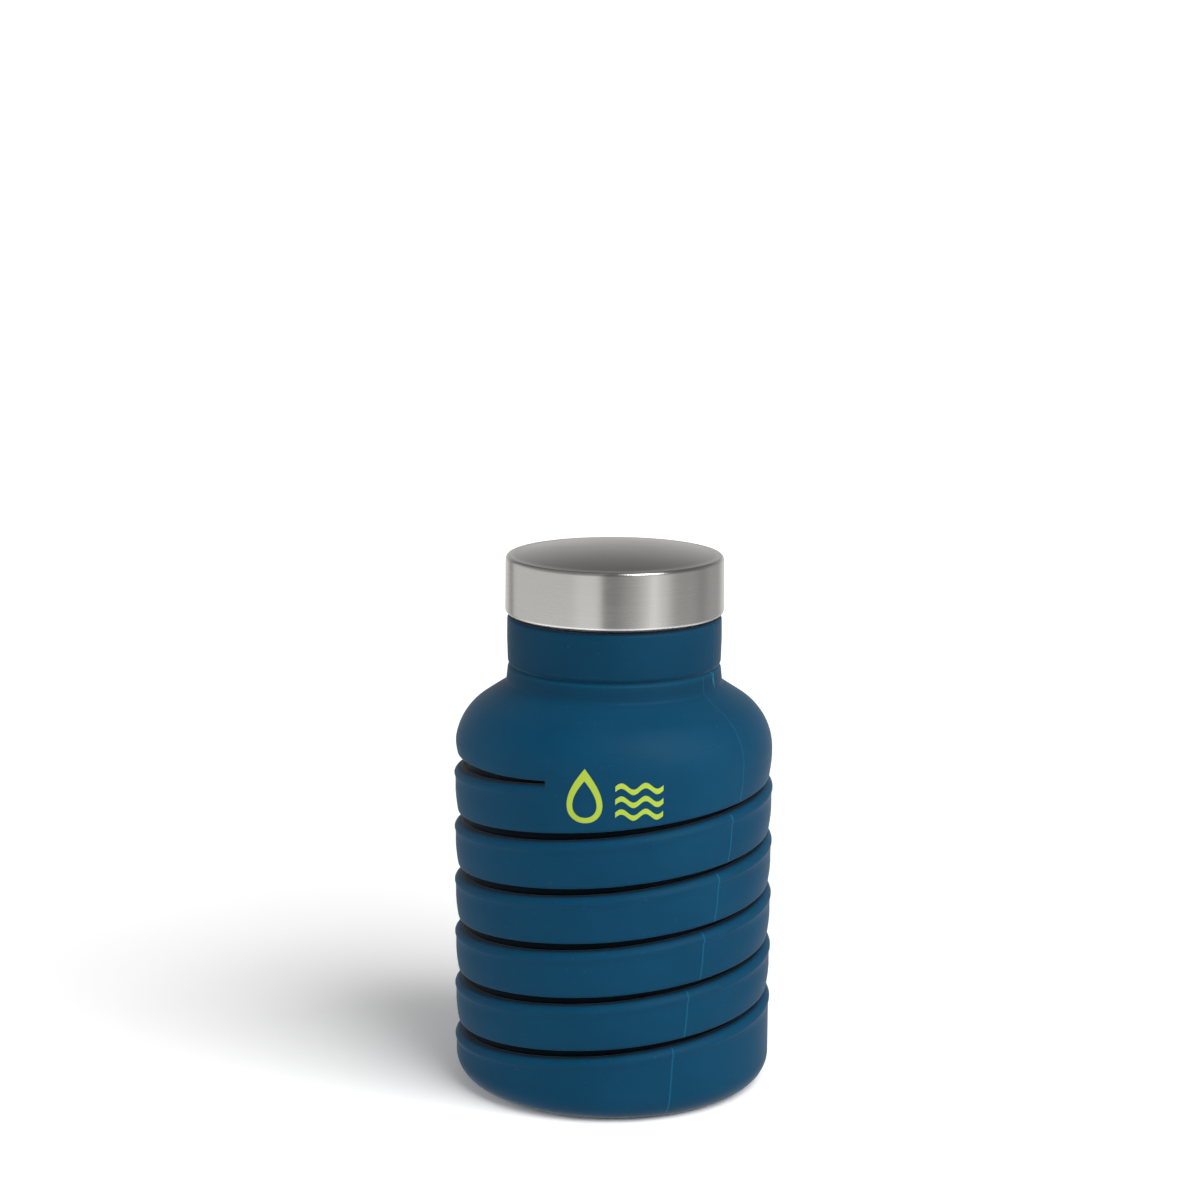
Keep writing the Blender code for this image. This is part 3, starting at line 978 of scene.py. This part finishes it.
def area_light(name, place, target, size, power, mirrored=True):
    """A soft box aimed at target. Without mirrored, no surface shows its reflection."""
    lamp = bpy.data.lights.new(name, "AREA")
    lamp.shape = "RECTANGLE"
    lamp.size, lamp.size_y = size
    lamp.energy = power
    obj = bpy.data.objects.new(name, lamp)
    bpy.context.scene.collection.objects.link(obj)
    obj.location = place
    obj.rotation_euler = (Vector(target) - Vector(place)).to_track_quat("-Z", "Y").to_euler()
    obj.visible_glossy = mirrored
    return obj


def light_only(lamp, pieces):
    """The lamp lights these pieces and nothing else."""
    receivers = bpy.data.collections.new(lamp.name + "_receivers")
    for piece in pieces:
        receivers.objects.link(piece)
    lamp.light_linking.receiver_collection = receivers


# Soft boxes around the bottle, as the steel mirrors them: degrees round from the front
# towards +X, half width, softness of the edge, and how bright
ROOM_GLOW = 0.18
TABLE_GLOW = 0.9
BACK_WALL_LOW = 0.65            # brightness behind the bottle at eye level, and high up
BACK_WALL_HIGH = 0.11
SOFT_BOXES = [(-74, 58, 5, 0.29), (-28, 8, 12, 0.08), (46, 6, 25, 0.24), (42, 1, 7, 0.14),
              (34, 16, 18, 0.10), (84, 6, 18, 0.09), (128, 4, 28, 0.11)]


def make_world():
    world = bpy.data.worlds.new("studio")
    bpy.context.scene.world = world
    n = Nodes(world, "Background")
    ways = n.add("ShaderNodeSeparateXYZ")
    n.link(n.add("ShaderNodeTexCoord").outputs["Generated"], ways.inputs[0])
    forward = n.math("MULTIPLY", ways.outputs["Y"], -1.0)
    azimuth = n.math("DEGREES", n.math("ARCTAN2", ways.outputs["X"], forward))

    def away_from(centre):
        turned_by = n.math("WRAP", n.math("SUBTRACT", azimuth, centre), 180.0, -180.0)
        return n.math("ABSOLUTE", turned_by)

    glow = ROOM_GLOW
    for centre, half, soft, strength in SOFT_BOXES:
        box = n.ranged(away_from(centre), half, half + soft, strength, 0.0, smooth=True)
        glow = n.math("ADD", box, glow)
    glow = n.math("MULTIPLY", glow, n.ranged(ways.outputs["Z"], 0.0, 0.6, 1.15, 0.45))
    # behind the bottle, which only the cap's top mirrors, the wall darkens upwards
    behind = n.ranged(away_from(180.0), 20, 45, 1.0, 0.0, smooth=True)
    wall = n.ranged(ways.outputs["Z"], -0.05, 0.5, BACK_WALL_LOW, BACK_WALL_HIGH)
    glow = n.math("ADD", n.math("MULTIPLY", glow, n.math("SUBTRACT", 1.0, behind)),
                  n.math("MULTIPLY", wall, behind))
    table = n.ranged(ways.outputs["Z"], -0.45, -0.75, 0.0, TABLE_GLOW)
    n.set(Strength=n.math("ADD", glow, table))
    n.set(Color=(1.0, 0.99, 0.98))


# The photograph's camera, in millimetres, metres and degrees
SENSOR_WIDTH = 36
FOCAL_LENGTH = 85.53
CAMERA_PLACE = (-0.00055, -0.6576, 0.24006)
CAMERA_YAW = -0.251             # from straight ahead (+Y) towards +X
CAMERA_PITCH = 10.71            # downwards
CAMERA_ROLL = 0.293


def make_camera():
    lens = bpy.data.cameras.new("camera")
    lens.sensor_width = SENSOR_WIDTH
    lens.lens = FOCAL_LENGTH
    camera = bpy.data.objects.new("camera", lens)
    bpy.context.scene.collection.objects.link(camera)
    yaw, pitch, roll = (math.radians(a) for a in (CAMERA_YAW, CAMERA_PITCH, CAMERA_ROLL))
    ahead = Vector((math.sin(yaw), math.cos(yaw), 0))
    side = Vector((math.cos(yaw), -math.sin(yaw), 0))
    rise = Vector((0, 0, 1))
    looking = ahead * math.cos(pitch) - rise * math.sin(pitch)
    upward = rise * math.cos(pitch) + ahead * math.sin(pitch)
    right = side * math.cos(roll) + upward * math.sin(roll)
    top = upward * math.cos(roll) - side * math.sin(roll)
    turn = Matrix((right, top, -looking)).transposed()
    camera.matrix_world = Matrix.Translation(CAMERA_PLACE) @ turn.to_4x4()
    bpy.context.scene.camera = camera


# The steel has its own key, higher and weaker, so that the cap's top isn't burnt out when it
# is seen from behind
floor = make_floor()
make_world()
key = area_light("key", (0.46, -0.47, 0.75), (0, 0, 0.06), (0.75, 0.75), 12.5)
light_only(key, [floor, base, fold_wall, shoulder, insert, liner, seal])
steel_key = area_light("steel_key", (0.40, -0.41, 1.0), (0, 0, 0.12), (0.5, 0.5), 3.0)
light_only(steel_key, [shell])
area_light("right", (0.90, -0.30, 0.36), (0, 0, 0.05), (0.6, 0.6), 2.1, mirrored=False)
area_light("left", (-0.85, -0.1, 0.30), (0, 0, 0.06), (0.5, 0.5), 2.9, mirrored=False)
make_camera()
bpy.context.scene.view_settings.view_transform = "Standard"
